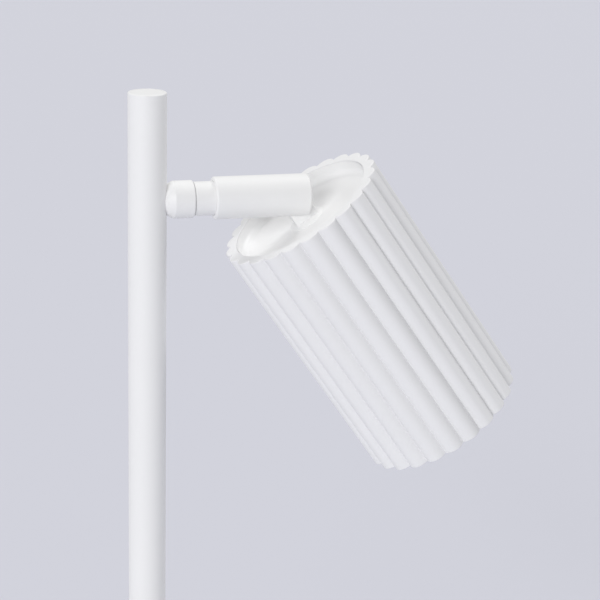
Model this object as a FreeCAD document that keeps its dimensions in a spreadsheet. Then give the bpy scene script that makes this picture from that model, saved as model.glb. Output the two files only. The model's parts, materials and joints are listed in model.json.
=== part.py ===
"""Table spot lamp: a fluted cylindrical shade on a short swivel arm, carried by a slim round pole
on a heavy disc base.

Frame: the origin is the middle of the base's underside, on the pole's axis. +Z is up, +X runs along
the arm from the pole to the shade, and the lamp is symmetric about the XZ plane. Lengths are in mm.

Turned pieces are drawn about their own Z axis, from their lowest or nearest face, and then placed:
upright on the pole's axis, along the arm (own Z along +X, own X pointing down) or in the head
(own Z along the shade's axis, away from its mouth).
"""
import FreeCAD
import Part
import os
import re
import Sketcher

DRIVING_DIMENSIONS = [
    ("lamp_height", 500.0, "floor of the base to the top of the pole"),
    ("pole_radius", 9.0, "outside of the pole"),
    ("pole_wall", 1.5, "wall of the pole tube"),
    ("pole_round", 0.4, "rounding of the pole's top edge"),
    ("pole_plug_thick", 3.0, "plug in the pole's top"),
    ("pole_plug_inset", 0.1, "plug's face below the pole's top"),
    ("base_radius", 95.0, "base disc"),
    ("base_thick", 10.0, "base disc"),
    ("base_round", 1.6, "rounding of the base's top edge"),
    ("base_bevel", 0.8, "bevel of the base's lower edge"),
    ("pad_radius", 92.0, "pad under the base"),
    ("pad_thick", 2.0, "pad under the base"),
    ("recess_radius", 18.0, "recess for the foot nut, under the base"),
    ("recess_depth", 7.0, "recess for the foot nut, under the base"),
    ("groove_wide", 10.0, "cord groove under the base"),
    ("groove_deep", 7.5, "cord groove under the base"),
    ("gland_long", 12.0, "cord gland in the groove's mouth"),
    ("gland_inset", 0.4, "gland's outer face inside the base's edge"),
    ("cord_bore", 2.75, "radius of the hole for the cord"),
    ("foot_thread", 5.0, "radius of the hollow stud that holds the pole to the base"),
    ("foot_stud_bore", 3.5, "radius of the hole through that stud"),
    ("foot_insert_long", 18.0, "threaded insert in the pole's foot"),
    ("foot_washer_radius", 11.0, "washer under the base"),
    ("foot_washer_thick", 1.5, "washer under the base"),
    ("foot_nut_thick", 4.5, "nut under the base"),
    ("foot_nut_flats", 15.0, "across the flats"),
    ("thread_play", 0.2, "radial play of the holes that threaded pieces pass through"),
    ("arm_height", 449.3, "arm axis above the floor"),
    ("stud_radius", 4.0, "hollow stud through the pole wall into the neck"),
    ("stud_bore", 2.5, "lead way through that stud"),
    ("stud_start", 1.5, "inner end of the stud, from the pole's axis"),
    ("stud_long", 31.0, "length of that stud"),
    ("saddle_start", 2.4, "flat face of the saddle nut, from the pole's axis"),
    ("saddle_tall", 13.0, "height of the saddle nut"),
    ("collar_start", 7.2, "pole end of the collar, from the pole's axis"),
    ("collar_radius", 8.8, "outside of the collar"),
    ("collar_end", 21.2, "outer end of the collar, from the pole's axis"),
    ("collar_bevel", 0.5, "bevel at the collar's outer end"),
    ("collar_tip", 4.8, "radius of the collar's narrow end, which the pole hides"),
    ("collar_knee", 7.4, "radius where the collar's end turns over"),
    ("collar_knee_up", 2.0, "that turn, from the collar's pole end"),
    ("collar_knee_round", 4.0, "rounding of that turn"),
    ("collar_full_up", 4.8, "where the collar reaches its full radius, from its pole end"),
    ("neck_gap", 1.0, "shadow groove between collar and neck"),
    ("neck_gap_radius", 7.0, "bottom of that groove"),
    ("neck_radius", 8.0, "neck that the sleeve turns on"),
    ("neck_end", 45.6, "shoulder of the neck, from the pole's axis"),
    ("nose_radius", 5.0, "threaded nose of the neck"),
    ("nose_end", 56.0, "tip of the nose, from the pole's axis"),
    ("lead_bore", 3.0, "lead way through the neck"),
    ("sleeve_start", 31.0, "near end of the sleeve, from the pole's axis"),
    ("sleeve_end", 76.4, "far end of the sleeve, from the pole's axis"),
    ("sleeve_radius", 10.0, "outside of the sleeve"),
    ("sleeve_round", 1.2, "rounding of the sleeve's ends"),
    ("running_gap", 0.05, "radial clearance of the turning fits"),
    ("shoulder_start", 46.4, "inner shoulder of the sleeve, from the pole's axis"),
    ("shoulder_thick", 3.0, "inner shoulder of the sleeve"),
    ("axial_gap", 0.2, "play beside the sleeve's shoulder"),
    ("spring_radius", 7.6, "spring washer"),
    ("spring_thick", 1.0, "spring washer"),
    ("swivel_nut_thick", 4.0, "nut on the neck's nose"),
    ("swivel_nut_flats", 13.0, "across the flats"),
    ("end_plug_thick", 2.0, "plug in the sleeve's far end"),
    ("slot_wide", 8.6, "slot that the lug swings in"),
    ("slot_start", 62.0, "near end of the slot, from the pole's axis"),
    ("slot_top", 6.5, "top of the slot above the arm axis"),
    ("pivot_reach", 68.3, "tilt pin, from the pole's axis"),
    ("pin_radius", 2.0, "tilt pin"),
    ("pin_long", 19.6, "tilt pin"),
    ("bush_radius", 4.0, "bushes beside the lug"),
    ("bush_inner", 4.1, "inner face of a bush, from the middle of the arm"),
    ("bush_outer", 6.7, "outer face of a bush, from the middle of the arm"),
    ("lug_thick", 8.0, "lug, across the arm"),
    ("lug_radius", 6.0, "eye of the lug, and half its width"),
    ("lug_foot_radius", 9.0, "round foot of the lug"),
    ("lug_foot_thick", 1.2, "round foot of the lug"),
    ("lug_foot_bevel", 0.4, "round foot of the lug"),
    ("lug_thread", 4.0, "threaded shank under the lug"),
    ("lug_shank", 13.5, "length of that shank"),
    ("lug_lead_radius", 1.75, "lead way up the lug and out of its side"),
    ("lug_lead_exit", 8.5, "where the lead way leaves the lug, above the cap"),
    ("tilt", 35.0, "degrees between the shade's axis and straight down"),
    ("rim_drop", 7.6, "shade's upper rim below the tilt pin, along the shade's axis"),
    ("shade_long", 132.5, "length of the shade"),
    ("shade_tip", 41.5, "radius over the flutes"),
    ("shade_valley", 38.7, "radius at the valleys between flutes"),
    ("shade_bore", 35.5, "radius of the smooth bore"),
    ("flutes", 24.0, "flutes round the shade"),
    ("flute_turn", 357.0, "degrees that the valleys are turned round the shade's axis"),
    ("recess_floor", 7.0, "cap's upper face below the upper rim"),
    ("cap_thick", 3.0, "cap across the bore"),
    ("cap_radius", 35.4, "cap across the bore"),
    ("ledge_thick", 2.5, "ledge that the cap rests on"),
    ("ledge_bore", 29.5, "radius inside the ledge"),
    ("cap_screw_circle", 32.4, "circle of the cap's screws"),
    ("screw_radius", 1.5, "shank of the small screws"),
    ("screw_head", 2.6, "head of the small screws"),
    ("screw_head_tall", 1.8, "head of the small screws"),
    ("screw_head_bevel", 0.5, "head of the small screws"),
    ("screw_bite", 1.8, "how far the small screws reach into the piece they hold"),
    ("screw_play", 0.1, "radial play of the holes that the small screws pass through"),
    ("blind_depth", 2.0, "depth of the holes that the small screws end in"),
    ("strip_thick", 1.5, "strip of the holder bracket"),
    ("strip_wide", 14.0, "strip of the holder bracket"),
    ("bracket_tall", 18.0, "height of the holder bracket"),
    ("bracket_half", 17.0, "legs of the bracket, from the shade's axis"),
    ("bracket_foot", 26.0, "ends of the bracket's feet, from the shade's axis"),
    ("bracket_screw", 21.5, "screws in the bracket's feet, from the shade's axis"),
    ("bracket_lead_hole", 4.0, "hole for the leads in the bracket's crown"),
    ("lug_washer_radius", 8.0, "washer under the cap"),
    ("lug_washer_thick", 1.4, "washer under the cap"),
    ("lug_nut_thick", 6.0, "nut under the cap"),
    ("lug_nut_flats", 13.0, "across the flats"),
    ("holder_radius", 13.5, "ceramic lamp holder"),
    ("holder_tall", 15.0, "ceramic lamp holder"),
    ("holder_bevel", 1.0, "ceramic lamp holder"),
    ("holder_screw", 10.0, "holder screws, from the shade's axis"),
    ("lamp_pin_reach", 5.0, "lamp's contact pins, from the shade's axis"),
    ("lamp_pin_radius", 1.6, "shank of a contact pin"),
    ("lamp_pin_head", 2.4, "head of a contact pin"),
    ("lamp_pin_head_tall", 1.8, "head of a contact pin"),
    ("lamp_pin_long", 8.0, "contact pin"),
    ("lamp_pin_play", 0.2, "radial play of the heads in the holder"),
    ("lamp_gap", 0.6, "lamp's back to the holder's face"),
    ("lamp_long", 48.0, "lamp body"),
    ("lamp_back", 12.5, "radius of the lamp's back"),
    ("lamp_neck_tall", 6.0, "straight back part of the lamp body"),
    ("lamp_hip", 15.5, "radius where the lamp body begins to widen"),
    ("lamp_hip_up", 34.0, "that place, from the lamp's front"),
    ("lamp_front", 25.0, "radius of the lamp's front"),
    ("lamp_rim_tall", 5.0, "straight front part of the lamp body"),
    ("lamp_brow", 23.5, "radius behind the front part's shoulder"),
    ("lamp_brow_up", 9.0, "that place, from the lamp's front"),
    ("lens_radius", 22.5, "lamp's front glass"),
    ("lens_thick", 2.0, "lamp's front glass"),
    ("lens_inset", 1.0, "front glass behind the lamp's front"),
    ("baffle_wall", 1.5, "wall of the anti-glare cone"),
    ("baffle_inner", 25.4, "narrow end of the cone"),
    ("baffle_skirt", 16.0, "straight part of the cone's wide end"),
    ("baffle_rise", 12.0, "sloping part of the cone"),
    ("baffle_crease", 0.6, "how far the inner bend lies below the outer one"),
    ("baffle_inset", 12.0, "cone's wide end inside the shade's mouth"),
    ("past", 2.0, "how far a cutting shape stands past the piece it cuts"),
]

UPRIGHT = FreeCAD.Rotation()
ALONG_ARM = FreeCAD.Rotation(FreeCAD.Vector(0, 1, 0), 90)
ACROSS_ARM = FreeCAD.Rotation(FreeCAD.Vector(1, 0, 0), 90)
HEAD_FIRST_DOWN = FreeCAD.Rotation(FreeCAD.Vector(1, 0, 0), 180)
CAP_SCREW_ANGLES = (90, 210, 330)
STEP_FOLDER = "parts"

doc = FreeCAD.newDocument("SpotLamp")
sheet = doc.addObject("Spreadsheet::Sheet", "Dimensions")
for row, (alias, number, meaning) in enumerate(DRIVING_DIMENSIONS, start=1):
    sheet.set(f"A{row}", alias)
    sheet.set(f"B{row}", str(number))
    sheet.set(f"C{row}", meaning)
    sheet.setAlias(f"B{row}", alias)
doc.recompute()

ALIASES = {alias for alias, number, meaning in DRIVING_DIMENSIONS}
nodes = {}


def bound(formula):
    """The formula with every dimension's name pointing at its cell of the sheet."""
    def point_at_sheet(match):
        word = match.group(0)
        return "Dimensions." + word if word in ALIASES else word
    return re.sub(r"[a-z_]+", point_at_sheet, formula)


def size(formula):
    """The formula's present value in mm (or degrees, or a count)."""
    return float(sheet.evalExpression(bound(formula)))


def keep(label, thing):
    """Registers a finished sub-part under the name of its node."""
    thing.Label = label
    nodes[label] = thing
    return thing


def origin_part(body, role):
    """One of the body's own three planes or three axes."""
    return next(part for part in body.Origin.OriginFeatures if part.Role == role)


def new_sketch(body, name, role, start="0"):
    """An empty sketch on one of the body's own planes, or lifted that far off it."""
    sketch = body.newObject("Sketcher::SketchObject", name)
    sketch.AttachmentSupport = (origin_part(body, role), [""])
    sketch.MapMode = "FlatFace"
    sketch.setExpression(".AttachmentOffset.Base.z", bound(start))
    return sketch


def hold_point(sketch, edge, vertex, across, up):
    """Ties one vertex of the sketch to the two formulas that give its place."""
    for kind, axis, formula in (("DistanceX", -2, across), ("DistanceY", -1, up)):
        if abs(size(formula)) < 1e-9:
            sketch.addConstraint(Sketcher.Constraint("PointOnObject", edge, vertex, axis))
            continue
        rule = Sketcher.Constraint(kind, -1, 1, edge, vertex, size(formula))
        index = sketch.addConstraint(rule)
        sketch.setExpression(f"Constraints[{index}]", bound(formula))


def draw_outline(sketch, corners):
    """A closed outline of straight sides through corners given as pairs of formulas."""
    places = [FreeCAD.Vector(size(across), size(up), 0) for across, up in corners]
    count = len(places)
    for index in range(count):
        side = Part.LineSegment(places[index], places[(index + 1) % count])
        sketch.addGeometry(side, False)
    for index in range(count):
        meeting = Sketcher.Constraint("Coincident", index, 2, (index + 1) % count, 1)
        sketch.addConstraint(meeting)
    for index, (across, up) in enumerate(corners):
        hold_point(sketch, index, 1, across, up)


def draw_circle(sketch, across, up, radius):
    """A circle whose centre and radius are formulas."""
    centre = FreeCAD.Vector(size(across), size(up), 0)
    circle = Part.Circle(centre, FreeCAD.Vector(0, 0, 1), size(radius))
    edge = sketch.addGeometry(circle, False)
    index = sketch.addConstraint(Sketcher.Constraint("Radius", edge, size(radius)))
    sketch.setExpression(f"Constraints[{index}]", bound(radius))
    hold_point(sketch, edge, 3, across, up)


def turned(name, outline):
    """A body turned about its own Z axis from an outline of (radius, height) formulas."""
    body = doc.addObject("PartDesign::Body", name)
    sketch = new_sketch(body, name + "_outline", "XZ_Plane")
    draw_outline(sketch, outline)
    turn = body.newObject("PartDesign::Revolution", name + "_turn")
    turn.Profile = sketch
    turn.ReferenceAxis = (sketch, ["V_Axis"])
    turn.Angle = 360
    doc.recompute()
    return body


def tube(name, inner, outer, length):
    """A plain round piece with a straight hole."""
    return turned(name, [(inner, "0"), (outer, "0"), (outer, length), (inner, length)])


def rod(name, radius, length):
    """A plain round piece."""
    return turned(name, [("0", "0"), (radius, "0"), (radius, length), ("0", length)])


def add(body, name, role, draw, thickness, both_ways=False):
    """Adds the drawn shape to the body, up from the plane or half its thickness to each side."""
    sketch = new_sketch(body, name + "_outline", role)
    draw(sketch)
    pad = body.newObject("PartDesign::Pad", name)
    pad.Profile = sketch
    pad.setExpression("Length", bound(thickness))
    pad.Midplane = both_ways
    doc.recompute()
    return pad


def cut(body, name, role, draw, reach, forward=None, start="0"):
    """Cuts the shape that draw puts in a sketch on one of the body's planes, or start above it.

    forward is True or False for a cut from the sketch to one side of it, along its normal or
    against it, and None for a cut of that full reach with the sketch in its middle."""
    before = body.Shape.Volume
    sketch = new_sketch(body, name + "_outline", role, start)
    draw(sketch)
    pocket = body.newObject("PartDesign::Pocket", name)
    pocket.Profile = sketch
    pocket.setExpression("Length", bound(reach))
    pocket.Midplane = forward is None
    pocket.Reversed = forward is True
    doc.recompute()
    if body.Shape.Volume > before - 0.01:
        raise ValueError(f"{name} cuts nothing")


def rim_edges(shape, radius, height):
    """Names of the shape's circular edges of that radius at that height on its own Z axis."""
    names = []
    for index, edge in enumerate(shape.Edges, start=1):
        if not isinstance(edge.Curve, Part.Circle):
            continue
        right_size = abs(edge.Curve.Radius - size(radius)) < 1e-4
        right_height = abs(edge.Curve.Center.z - size(height)) < 1e-4
        if right_size and right_height:
            names.append(f"Edge{index}")
    return names


def round_rim(body, name, radius, height, rounding):
    """Rounds the circular edge of that radius and height."""
    base = body.Tip
    edges = rim_edges(base.Shape, radius, height)
    fillet = body.newObject("PartDesign::Fillet", name)
    fillet.Base = (base, edges)
    fillet.setExpression("Radius", bound(rounding))
    doc.recompute()


def hex_nut(name, flats, thread, thick):
    """A hexagon nut standing on its own XY plane."""
    corner = f"({flats}) / 2 / cos(30)"
    outline = []
    for step in range(6):
        outline.append((f"({corner}) * cos({60 * step + 30})", f"({corner}) * sin({60 * step + 30})"))
    body = doc.addObject("PartDesign::Body", name)
    add(body, name + "Hexagon", "XY_Plane", lambda sketch: draw_outline(sketch, outline), thick)
    cut(body, name + "Thread", "XY_Plane", lambda sketch: draw_circle(sketch, "0", "0", thread),
        f"3 * ({thick})")
    return body


def small_screw(name, grip):
    """A pan-head screw, head first, whose shank runs through the grip and bites beyond it."""
    length = f"screw_head_tall + ({grip}) + screw_bite"
    return turned(name, [
        ("0", "0"), ("screw_head - screw_head_bevel", "0"), ("screw_head", "screw_head_bevel"),
        ("screw_head", "screw_head_tall"),
        ("screw_radius", "screw_head_tall"), ("screw_radius", length), ("0", length),
    ])


def group(label, pieces):
    """Several identical fasteners kept in one node as separate solids."""
    compound = doc.addObject("Part::Compound", label)
    compound.Links = pieces
    return keep(label, compound)


def stand_up(piece, height, across="0"):
    """Places a turned piece upright on, or beside, the pole's axis."""
    piece.Placement = FreeCAD.Placement(FreeCAD.Vector(size(across), 0, size(height)), UPRIGHT)


def lay_along_arm(piece, reach):
    """Places a turned piece on the arm axis, its near face that far from the pole's axis."""
    piece.Placement = FreeCAD.Placement(FreeCAD.Vector(size(reach), 0, size("arm_height")), ALONG_ARM)


def place_across(piece, end):
    """Lays a turned piece across the arm on the tilt pin's axis, from that end towards -Y."""
    place = FreeCAD.Vector(size("pivot_reach"), size(end), size("arm_height"))
    piece.Placement = FreeCAD.Placement(place, ACROSS_ARM)


def head_placement(below_rim, across="0", turn=0.0, local=UPRIGHT):
    """A place in the head: that far below the shade's upper rim along the shade's axis."""
    pivot = FreeCAD.Vector(size("pivot_reach"), 0, size("arm_height"))
    leaning = FreeCAD.Rotation(FreeCAD.Vector(0, 1, 0), -size("tilt"))
    place = FreeCAD.Vector(size(across), 0, -size(f"rim_drop + ({below_rim})"))
    around = FreeCAD.Rotation(FreeCAD.Vector(0, 0, 1), turn)
    offset = FreeCAD.Vector(0, 0, place.z) + around.multVec(FreeCAD.Vector(place.x, 0, 0))
    return FreeCAD.Placement(pivot, leaning) * FreeCAD.Placement(offset, around * local)


def make_base():
    """Pad, disc with its nut recess and cord groove, and the gland in the groove's mouth."""
    pad = keep("base_pad", rod("BasePad", "pad_radius", "pad_thick"))
    stand_up(pad, "0")

    disc = keep("base_plate", turned("BasePlate", [
        ("foot_thread + thread_play", "recess_depth"),
        ("recess_radius", "recess_depth"),
        ("recess_radius", "0"),
        ("base_radius - base_bevel", "0"),
        ("base_radius", "base_bevel"),
        ("base_radius", "base_thick"),
        ("foot_thread + thread_play", "base_thick"),
    ]))
    round_rim(disc, "BaseRound", "base_radius", "base_thick", "base_round")
    groove_corners = [
        ("-groove_wide / 2", "0"), ("groove_wide / 2", "0"),
        ("groove_wide / 2", "groove_deep"), ("-groove_wide / 2", "groove_deep"),
    ]
    cut(disc, "CordGroove", "YZ_Plane", lambda sketch: draw_outline(sketch, groove_corners),
        "base_radius + past", forward=False)
    stand_up(disc, "pad_thick")

    block = doc.addObject("Part::Box", "GlandBlock")
    block.setExpression("Length", bound("gland_long"))
    block.setExpression("Width", bound("groove_wide"))
    block.setExpression("Height", bound("groove_deep"))
    block.Placement.Base = FreeCAD.Vector(0, -size("groove_wide / 2"), 0)
    hole = doc.addObject("Part::Cylinder", "GlandHole")
    hole.setExpression("Radius", bound("cord_bore"))
    hole.setExpression("Height", bound("gland_long * 2"))
    hole.Placement = FreeCAD.Placement(
        FreeCAD.Vector(-size("gland_long / 2"), 0, size("groove_deep / 2")), ALONG_ARM)
    gland = doc.addObject("Part::Cut", "Gland")
    gland.Base = block
    gland.Tool = hole
    keep("cord_gland", gland)
    stand_up(gland, "pad_thick", "gland_inset - base_radius")


def make_foot_fastening():
    """What clamps the pole to the base: insert in the pole, hollow stud, washer and nut."""
    inside = "pole_radius - pole_wall"
    insert = keep("foot_insert", tube("FootInsert", "foot_thread", inside, "foot_insert_long"))
    stand_up(insert, "pad_thick + base_thick")

    nut_bottom = "pad_thick + recess_depth - foot_washer_thick - foot_nut_thick"
    stud_length = f"pad_thick + base_thick + foot_insert_long - ({nut_bottom})"
    stud = keep("foot_stud", tube("FootStud", "foot_stud_bore", "foot_thread", stud_length))
    stand_up(stud, nut_bottom)

    washer = keep("foot_washer", tube("FootWasher", "foot_thread + thread_play",
                                     "foot_washer_radius", "foot_washer_thick"))
    stand_up(washer, "pad_thick + recess_depth - foot_washer_thick")
    nut = keep("foot_nut", hex_nut("FootNut", "foot_nut_flats", "foot_thread", "foot_nut_thick"))
    stand_up(nut, nut_bottom)


def make_pole():
    """Tube with the hole for the arm's stud, and the flush plug in its top."""
    length = "lamp_height - pad_thick - base_thick"
    inside = "pole_radius - pole_wall"
    pole = keep("pole_tube", tube("PoleTube", inside, "pole_radius", length))
    round_rim(pole, "PoleRound", "pole_radius", length, "pole_round")
    arm_above_foot = "arm_height - pad_thick - base_thick"
    cut(pole, "StudHole", "YZ_Plane",
        lambda sketch: draw_circle(sketch, "0", arm_above_foot, "stud_radius + thread_play"),
        "pole_radius + past", forward=True)
    stand_up(pole, "pad_thick + base_thick")
    plug = keep("pole_plug", rod("PolePlug", inside, "pole_plug_thick"))
    stand_up(plug, "lamp_height - pole_plug_thick - pole_plug_inset")


def make_arm_fastening():
    """Saddle nut inside the pole, hollow stud, and the collar that is drawn against the pole."""
    half_tall = size("saddle_tall / 2")
    core = doc.addObject("Part::Cylinder", "SaddleCore")
    core.setExpression("Radius", bound("pole_radius - pole_wall"))
    core.setExpression("Height", bound("saddle_tall"))
    core.Placement.Base = FreeCAD.Vector(0, 0, -half_tall)
    window = doc.addObject("Part::Box", "SaddleWindow")
    window.setExpression("Length", bound("pole_radius"))
    window.setExpression("Width", bound("saddle_tall"))
    window.setExpression("Height", bound("saddle_tall"))
    window.Placement.Base = FreeCAD.Vector(size("saddle_start"), -half_tall, -half_tall)
    saddle = doc.addObject("Part::Common", "SaddleSolid")
    saddle.Base = core
    saddle.Tool = window
    thread = doc.addObject("Part::Cylinder", "SaddleThread")
    thread.setExpression("Radius", bound("stud_radius"))
    thread.setExpression("Height", bound("pole_radius * 2"))
    thread.Placement = FreeCAD.Placement(FreeCAD.Vector(0, 0, 0), ALONG_ARM)
    saddle_nut = doc.addObject("Part::Cut", "SaddleNut")
    saddle_nut.Base = saddle
    saddle_nut.Tool = thread
    keep("arm_saddle_nut", saddle_nut)
    stand_up(saddle_nut, "arm_height")

    stud = keep("arm_stud", tube("ArmStud", "stud_bore", "stud_radius", "stud_long"))
    lay_along_arm(stud, "stud_start")

    collar_long = "collar_end - collar_start"
    blank = turned("CollarBlank", [
        ("stud_radius + running_gap", "0"),
        ("collar_tip", "0"),
        ("collar_knee", "collar_knee_up"),
        ("collar_radius", "collar_full_up"),
        ("collar_radius", f"{collar_long} - collar_bevel"),
        ("collar_radius - collar_bevel", collar_long),
        ("stud_radius + running_gap", collar_long),
    ])
    round_rim(blank, "CollarRound", "collar_knee", "collar_knee_up", "collar_knee_round")
    lay_along_arm(blank, "collar_start")
    seat = doc.addObject("Part::Cylinder", "CollarSeat")
    seat.setExpression("Radius", bound("pole_radius"))
    seat.setExpression("Height", bound("lamp_height"))
    collar = doc.addObject("Part::Cut", "Collar")
    collar.Base = blank
    collar.Tool = seat
    keep("arm_collar", collar)


def make_swivel():
    """Neck that carries the sleeve, and the washers and nut that clamp the sleeve's shoulder."""
    shoulder = "neck_end - collar_end"
    tip = "nose_end - collar_end"
    stud_room = "stud_start + stud_long - collar_end"
    neck = keep("arm_neck", turned("ArmNeck", [
        ("stud_radius", "0"),
        ("neck_gap_radius", "0"),
        ("neck_gap_radius", "neck_gap"),
        ("neck_radius", "neck_gap"),
        ("neck_radius", shoulder),
        ("nose_radius", shoulder),
        ("nose_radius", tip),
        ("lead_bore", tip),
        ("lead_bore", stud_room),
        ("stud_radius", stud_room),
    ]))
    lay_along_arm(neck, "collar_end")

    bore = "nose_radius + thread_play"
    friction_thick = "shoulder_start - axial_gap - neck_end"
    friction = keep("friction_washer", tube("FrictionWasher", bore, "neck_radius - running_gap",
                                            friction_thick))
    lay_along_arm(friction, "neck_end")
    spring_start = "shoulder_start + shoulder_thick + axial_gap"
    spring = keep("spring_washer", tube("SpringWasher", bore, "spring_radius", "spring_thick"))
    lay_along_arm(spring, spring_start)
    nut = keep("swivel_nut", hex_nut("SwivelNut", "swivel_nut_flats", "nose_radius", "swivel_nut_thick"))
    lay_along_arm(nut, f"{spring_start} + spring_thick")


def cut_slot(body, name, near_face):
    """The lug's slot: through the underside and the far end. near_face is the piece's near face."""
    corners = [
        ("-slot_top", f"slot_start - ({near_face})"),
        ("sleeve_radius + past", f"slot_start - ({near_face})"),
        ("sleeve_radius + past", f"sleeve_end + past - ({near_face})"),
        ("-slot_top", f"sleeve_end + past - ({near_face})"),
    ]
    cut(body, name, "XZ_Plane", lambda sketch: draw_outline(sketch, corners), "slot_wide")


def make_sleeve():
    """Sleeve with its inner shoulder and slot, its end plug, the tilt pin and the two bushes."""
    fit = "neck_radius + running_gap"
    shoulder_near = "shoulder_start - sleeve_start"
    shoulder_far = "shoulder_start + shoulder_thick - sleeve_start"
    length = "sleeve_end - sleeve_start"
    sleeve = keep("arm_sleeve", turned("ArmSleeve", [
        (fit, "0"),
        ("sleeve_radius", "0"),
        ("sleeve_radius", length),
        (fit, length),
        (fit, shoulder_far),
        ("nose_radius + running_gap", shoulder_far),
        ("nose_radius + running_gap", shoulder_near),
        (fit, shoulder_near),
    ]))
    round_rim(sleeve, "SleeveNearRound", "sleeve_radius", "0", "sleeve_round")
    round_rim(sleeve, "SleeveFarRound", "sleeve_radius", length, "sleeve_round")
    cut_slot(sleeve, "SleeveSlot", "sleeve_start")
    pin_up = "pivot_reach - sleeve_start"
    cut(sleeve, "PinHole", "XZ_Plane", lambda sketch: draw_circle(sketch, "0", pin_up, "pin_radius"),
        "sleeve_radius * 3")
    lay_along_arm(sleeve, "sleeve_start")

    plug_near = "sleeve_end - end_plug_thick"
    plug = keep("sleeve_end_plug", rod("SleeveEndPlug", fit, "end_plug_thick"))
    cut_slot(plug, "PlugSlot", plug_near)
    lay_along_arm(plug, plug_near)

    pin = keep("tilt_pin", rod("TiltPin", "pin_radius", "pin_long"))
    place_across(pin, "pin_long / 2")
    bushes = []
    for side, end in (("Near", "-bush_inner"), ("Far", "bush_outer")):
        bush = tube("Bush" + side, "pin_radius", "bush_radius", "bush_outer - bush_inner")
        place_across(bush, end)
        bushes.append(bush)
    group("tilt_bushes", bushes)


def make_lug():
    """Lug that hangs on the tilt pin, with its foot on the cap and its shank clamped below."""
    eye_up = "lug_shank + recess_floor + rim_drop"
    lug = keep("tilt_lug", turned("TiltLug", [
        ("0", "0"),
        ("lug_thread", "0"),
        ("lug_thread", "lug_shank"),
        ("lug_foot_radius", "lug_shank"),
        ("lug_foot_radius", "lug_shank + lug_foot_thick - lug_foot_bevel"),
        ("lug_foot_radius - lug_foot_bevel", "lug_shank + lug_foot_thick"),
        ("0", "lug_shank + lug_foot_thick"),
    ]))
    plate_corners = [
        ("-lug_radius", "lug_shank"), ("lug_radius", "lug_shank"),
        ("lug_radius", eye_up), ("-lug_radius", eye_up),
    ]
    add(lug, "LugPlate", "XZ_Plane", lambda sketch: draw_outline(sketch, plate_corners), "lug_thick",
        both_ways=True)
    add(lug, "LugEye", "XZ_Plane", lambda sketch: draw_circle(sketch, "0", eye_up, "lug_radius"),
        "lug_thick", both_ways=True)
    cut(lug, "LugPinHole", "XZ_Plane",
        lambda sketch: draw_circle(sketch, "0", eye_up, "pin_radius + running_gap"), "lug_thick * 2")
    cut(lug, "LugLeadBore", "XY_Plane", lambda sketch: draw_circle(sketch, "0", "0", "lug_lead_radius"),
        "lug_shank + lug_lead_exit + lug_lead_radius", forward=True)
    cut(lug, "LugLeadExit", "YZ_Plane",
        lambda sketch: draw_circle(sketch, "0", "lug_shank + lug_lead_exit", "lug_lead_radius"),
        "lug_radius + past", forward=False)
    lug.Placement = head_placement("recess_floor + lug_shank")

    under_cap = "recess_floor + cap_thick"
    washer = keep("lug_washer", tube("LugWasher", "lug_thread + thread_play",
                                   "lug_washer_radius", "lug_washer_thick"))
    washer.Placement = head_placement(f"{under_cap} + lug_washer_thick")
    nut = keep("lug_nut", hex_nut("LugNut", "lug_nut_flats", "lug_thread", "lug_nut_thick"))
    nut.Placement = head_placement(f"{under_cap} + lug_washer_thick + lug_nut_thick")


def draw_cap_screw_circles(sketch, radius):
    """One circle for each of the three screws between the ledge and the cap."""
    for angle in CAP_SCREW_ANGLES:
        across = f"cap_screw_circle * cos({angle})"
        draw_circle(sketch, across, f"cap_screw_circle * sin({angle})", radius)


def draw_pair(sketch, reach, radius):
    """Two circles at that distance each side of the middle, along X."""
    for side in ("", "-"):
        draw_circle(sketch, side + reach, "0", radius)


def make_cap():
    """Cap across the shade's bore, and the screws that hold it down on the ledge."""
    cap = keep("head_cap", tube("HeadCap", "lug_thread + thread_play", "cap_radius", "cap_thick"))
    cut(cap, "CapScrewHoles", "XY_Plane",
        lambda sketch: draw_cap_screw_circles(sketch, "screw_radius"), "blind_depth", forward=True)
    cut(cap, "BracketScrewHoles", "XY_Plane",
        lambda sketch: draw_pair(sketch, "bracket_screw", "screw_radius"), "blind_depth", forward=True)
    cap.Placement = head_placement("recess_floor + cap_thick")
    screws = []
    for angle in CAP_SCREW_ANGLES:
        screw = small_screw(f"CapScrew{angle}", "ledge_thick")
        below = "recess_floor + cap_thick + ledge_thick + screw_head_tall"
        screw.Placement = head_placement(below, "cap_screw_circle", angle)
        screws.append(screw)
    group("cap_screws", screws)


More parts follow.
